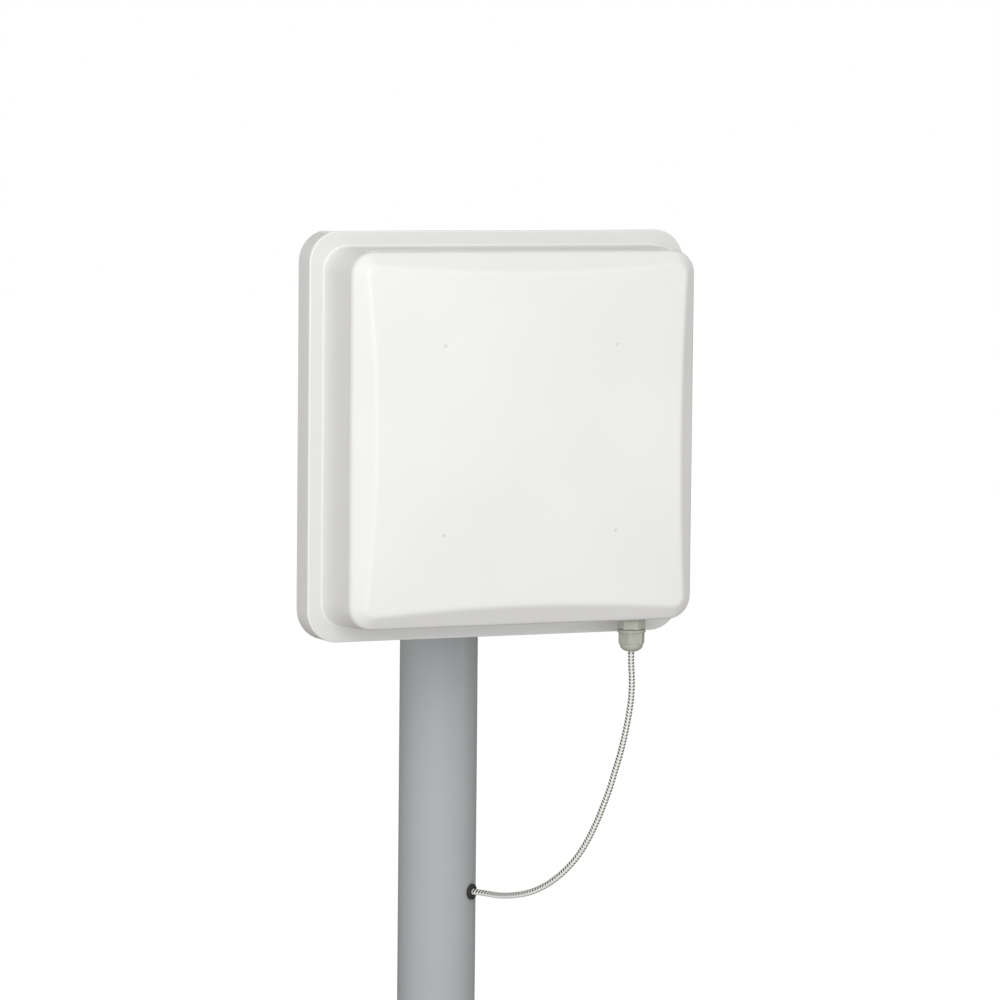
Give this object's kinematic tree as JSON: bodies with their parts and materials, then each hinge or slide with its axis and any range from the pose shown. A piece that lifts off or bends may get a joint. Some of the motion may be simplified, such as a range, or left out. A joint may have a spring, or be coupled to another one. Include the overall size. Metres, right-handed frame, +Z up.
{
  "type": "gate reader on post",
  "caption": "Square flat antenna reader head for an access gate, on a tilting bracket and a round steel post with a bolted floor base, with a cable from its gland into the post.",
  "frame": {"origin": "on the post's axis at the floor, in the plane of the base plate's underside", "axes": "+X to the right of someone who faces the head, +Y to the back, +Z up; the head faces -Y"},
  "size_m": [0.45, 0.405, 1.325],
  "materials": {
    "cover_white": "satin moulded outdoor plastic, fine grain",
    "seal_black": "matt black rubber",
    "sheet_aluminium": "brushed sheet",
    "stainless": "bright stainless steel",
    "gland_grey": "satin light grey nylon",
    "cable_braid": "white and grey braided jacket",
    "terminal_grey": "matt light grey plastic",
    "board_green": "solder-masked circuit board",
    "part_black": "matt black plastic",
    "brass": "plain brass",
    "tin": "tinned sheet",
    "bush_white": "natural white plastic",
    "bracket_grey": "powder-coated steel",
    "post_grey": "satin grey powder coat",
    "base_grey": "powder-coated steel",
    "cap_grey": "matt grey plastic"
  },
  "bodies": {
    "base": {"thrust_ring": "bush_white", "base_plate": "base_grey", "base_collar": "base_grey", "base_gussets": "base_grey", "set_screws": "stainless", "earth_stud": "brass", "earth_nut": "brass"},
    "mast": {"post_bracket": "bracket_grey", "clamp_jaw": "bracket_grey", "clamp_bolts": "stainless", "clamp_nuts": "stainless", "pivot_bolt": "stainless", "pivot_nut": "stainless", "post_tube": "post_grey", "post_cap": "cap_grey", "post_grommet": "seal_black", "service_cover": "post_grey", "service_screws": "stainless", "terminal_bracket": "stainless", "terminal_block": "terminal_grey", "terminal_screws": "stainless", "reader_cable": "cable_braid"},
    "head": {"radome_cover": "cover_white", "seal_gasket": "seal_black", "back_plate": "sheet_aluminium", "cover_screws": "stainless", "vent_plug": "part_black", "ground_plane": "sheet_aluminium", "ground_standoffs": "brass", "ground_screws": "stainless", "patch_1": "sheet_aluminium", "patch_2": "sheet_aluminium", "patch_3": "sheet_aluminium", "patch_4": "sheet_aluminium", "patch_posts": "bush_white", "feed_board": "board_green", "feed_pins": "brass", "rf_link": "brass", "reader_board": "board_green", "board_parts": "part_black", "shield_can": "tin", "board_standoffs": "brass", "board_screws": "stainless", "board_terminal": "terminal_grey", "inner_lead": "cable_braid", "gland_washer": "gland_grey", "gland_body": "gland_grey", "gland_seal": "seal_black", "gland_nut": "gland_grey", "gland_locknut": "gland_grey", "clinch_nuts": "stainless", "head_bracket": "bracket_grey", "head_bolts": "stainless", "lock_bolt": "stainless", "lock_nut": "stainless", "tilt_washers": "bush_white"}
  },
  "joints": [
    {"name": "post_turn", "type": "hinge", "parent": "base", "child": "mast", "pos_m": [0, 0, 0], "axis": [0, 0, 1], "range_deg": [-90, 90]},
    {"name": "head_tilt", "type": "hinge", "parent": "mast", "child": "head", "pos_m": [0, -0.084, 1.1], "axis": [1, 0, 0], "range_deg": [-15, 15], "deforming": ["reader_cable"]}
  ]
}
